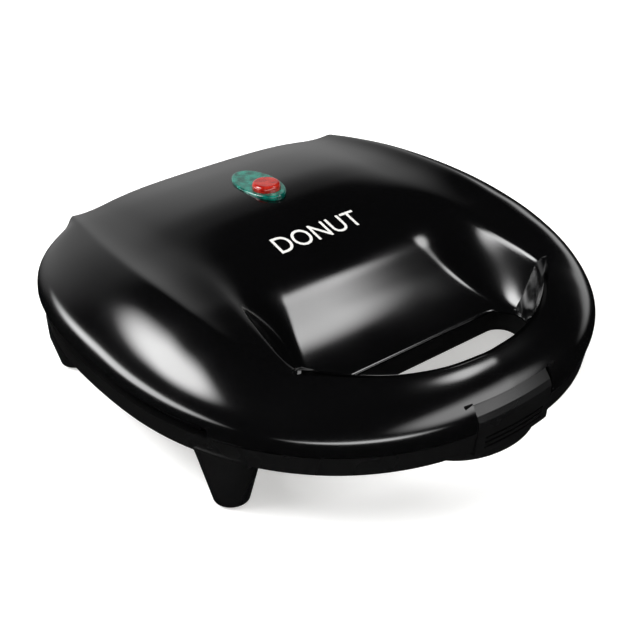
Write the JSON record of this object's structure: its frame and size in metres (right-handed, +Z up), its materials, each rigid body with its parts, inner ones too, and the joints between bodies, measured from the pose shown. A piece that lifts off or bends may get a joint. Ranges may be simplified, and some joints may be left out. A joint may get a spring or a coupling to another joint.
{
  "type": "donut maker",
  "caption": "Countertop ring-cake maker: rear-hinged glossy lid over two ring-mould plates, front latch, finger-through handle, lamp window and legs.",
  "frame": {"origin": "middle of the bounding box at the level the legs stand on", "axes": "+X to the right seen from the front, -Y towards the handle and latch, +Z up"},
  "size_m": [0.2302, 0.2243, 0.0762],
  "materials": {
    "gloss_black": "high gloss",
    "satin_black": "fine satin",
    "rubber_black": "matt",
    "nonstick": "satin non-stick coating",
    "steel": "satin",
    "shield": "bright sheet",
    "heater_tube": "dull",
    "brass": "satin",
    "ceramic": "unglazed",
    "green_lens": "clear tinted",
    "red_lens": "clear tinted",
    "lamp_glass": "clear",
    "white_nylon": "natural",
    "sleeve": "woven glass sleeve"
  },
  "bodies": {
    "base": {"base_shell": "satin_black", "latch_keeper": "satin_black", "thumb_lip": "satin_black", "foot_pads": "rubber_black", "lower_plate": "nonstick", "lower_heater": "heater_tube", "lower_reflector": "shield", "lower_screws": "steel", "thermostat": "ceramic", "thermal_fuse": "sleeve", "terminal_block": "white_nylon", "cord_gland": "satin_black", "base_leads": "sleeve", "hinge_pins": "steel"},
    "lid": {"lid_shell": "gloss_black", "upper_plate": "nonstick", "upper_heater": "heater_tube", "upper_reflector": "shield", "upper_screws": "steel", "power_lens": "green_lens", "ready_lens": "red_lens", "lamp_holder": "white_nylon", "power_lamp": "lamp_glass", "ready_lamp": "lamp_glass", "lid_leads": "sleeve", "latch_pin": "steel"},
    "latch": {"latch": "satin_black"}
  },
  "joints": [
    {"name": "lid_hinge", "type": "hinge", "parent": "base", "child": "lid", "pos_m": [0, 0.10665, 0.036], "axis": [-1, 0, 0], "range_deg": [0, 100]},
    {"name": "latch_pivot", "type": "hinge", "parent": "lid", "child": "latch", "pos_m": [0, -0.10355, 0.0433], "axis": [-1, 0, 0], "range_deg": [0, 12]}
  ]
}
